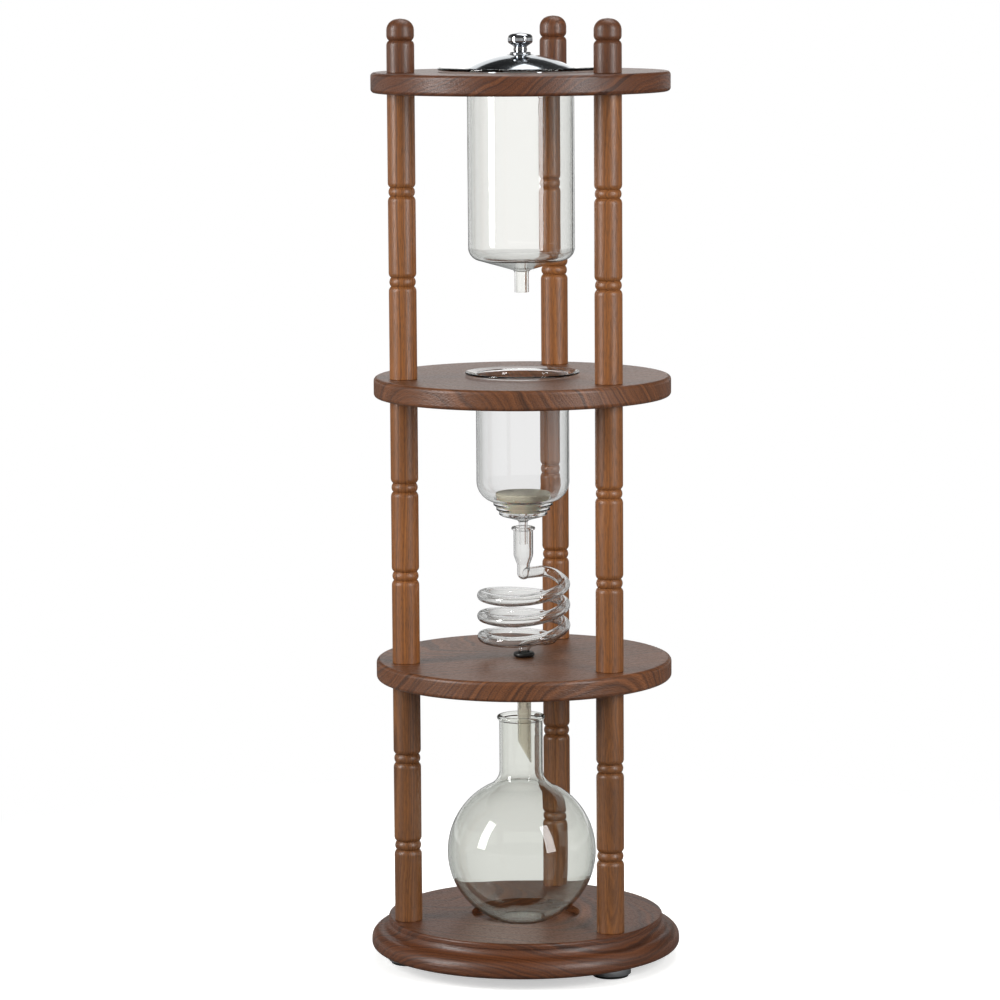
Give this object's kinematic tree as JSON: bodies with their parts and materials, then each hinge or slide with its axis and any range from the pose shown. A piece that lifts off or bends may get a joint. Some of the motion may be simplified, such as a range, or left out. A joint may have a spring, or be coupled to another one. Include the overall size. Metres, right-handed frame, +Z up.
{
  "type": "cold drip coffee tower",
  "caption": "Tall three-tier wooden cold drip coffee stand that holds a lidded glass water beaker, a glass coffee beaker with a filter, a glass spiral and a round flask above one another.",
  "frame": {"origin": "on the tower's vertical axis, in the plane that the feet stand on", "axes": "+Z up along the tower's axis; -Y is the front, between two columns; the third column is at +Y"},
  "size_m": [0.2866, 0.2866, 0.8708],
  "materials": {
    "wood_board": "satin lacquered dark hardwood",
    "wood_turned": "satin lacquered dark hardwood, turned",
    "glass": "clear polished",
    "chrome_lid": "mirror polished",
    "chrome_trim": "mirror polished",
    "rubber": "matt",
    "steel": "zinc plated",
    "brass": "machined",
    "ceramic": "matt unglazed ceramic",
    "gasket_silicone": "matt silicone",
    "tube_silicone": "translucent silicone"
  },
  "bodies": {
    "stand": {"base_inserts": "brass", "base_plate": "wood_board", "base_studs": "steel", "finial_left": "wood_turned", "finial_rear": "wood_turned", "finial_right": "wood_turned", "foot_cup_left": "chrome_trim", "foot_cup_rear": "chrome_trim", "foot_cup_right": "chrome_trim", "foot_pad_left": "rubber", "foot_pad_rear": "rubber", "foot_pad_right": "rubber", "foot_screws": "steel", "lower_column_left": "wood_turned", "lower_column_rear": "wood_turned", "lower_column_right": "wood_turned", "lower_shelf": "wood_board", "lower_shelf_inserts": "brass", "lower_shelf_studs": "steel", "middle_column_left": "wood_turned", "middle_column_rear": "wood_turned", "middle_column_right": "wood_turned", "middle_shelf": "wood_board", "middle_shelf_inserts": "brass", "middle_shelf_studs": "steel", "top_shelf": "wood_board", "top_shelf_inserts": "brass", "top_shelf_studs": "steel", "upper_column_left": "wood_turned", "upper_column_rear": "wood_turned", "upper_column_right": "wood_turned"},
    "water": {"water_beaker": "glass"},
    "lid": {"lid_dome": "chrome_lid", "lid_knob": "chrome_trim", "lid_screw": "steel", "lid_washer": "steel"},
    "coffee": {"coffee_beaker": "glass"},
    "filter": {"filter_disc": "ceramic", "filter_gasket": "gasket_silicone"},
    "spiral": {"spiral_coil": "glass", "spiral_ring": "rubber", "outlet_tube": "tube_silicone"},
    "flask": {"flask": "glass"}
  },
  "joints": [
    {"name": "water_beaker_lift", "type": "slide", "parent": "stand", "child": "water", "axis": [0, 0, 1], "range_m": [0, 0.21]},
    {"name": "lid_lift", "type": "slide", "parent": "water", "child": "lid", "axis": [0, 0, 1], "range_m": [0, 0.1]},
    {"name": "coffee_beaker_lift", "type": "slide", "parent": "stand", "child": "coffee", "axis": [0, 0, 1], "range_m": [0, 0.045]},
    {"name": "filter_lift", "type": "slide", "parent": "coffee", "child": "filter", "axis": [0, 0, 1], "range_m": [0, 0.13]},
    {"name": "spiral_turn", "type": "hinge", "parent": "stand", "child": "spiral", "pos_m": [0, 0, 0.29], "axis": [0, 0, 1], "continuous": true},
    {"name": "flask_lift", "type": "slide", "parent": "stand", "child": "flask", "axis": [0, 0, 1], "range_m": [0, 0.034]}
  ]
}
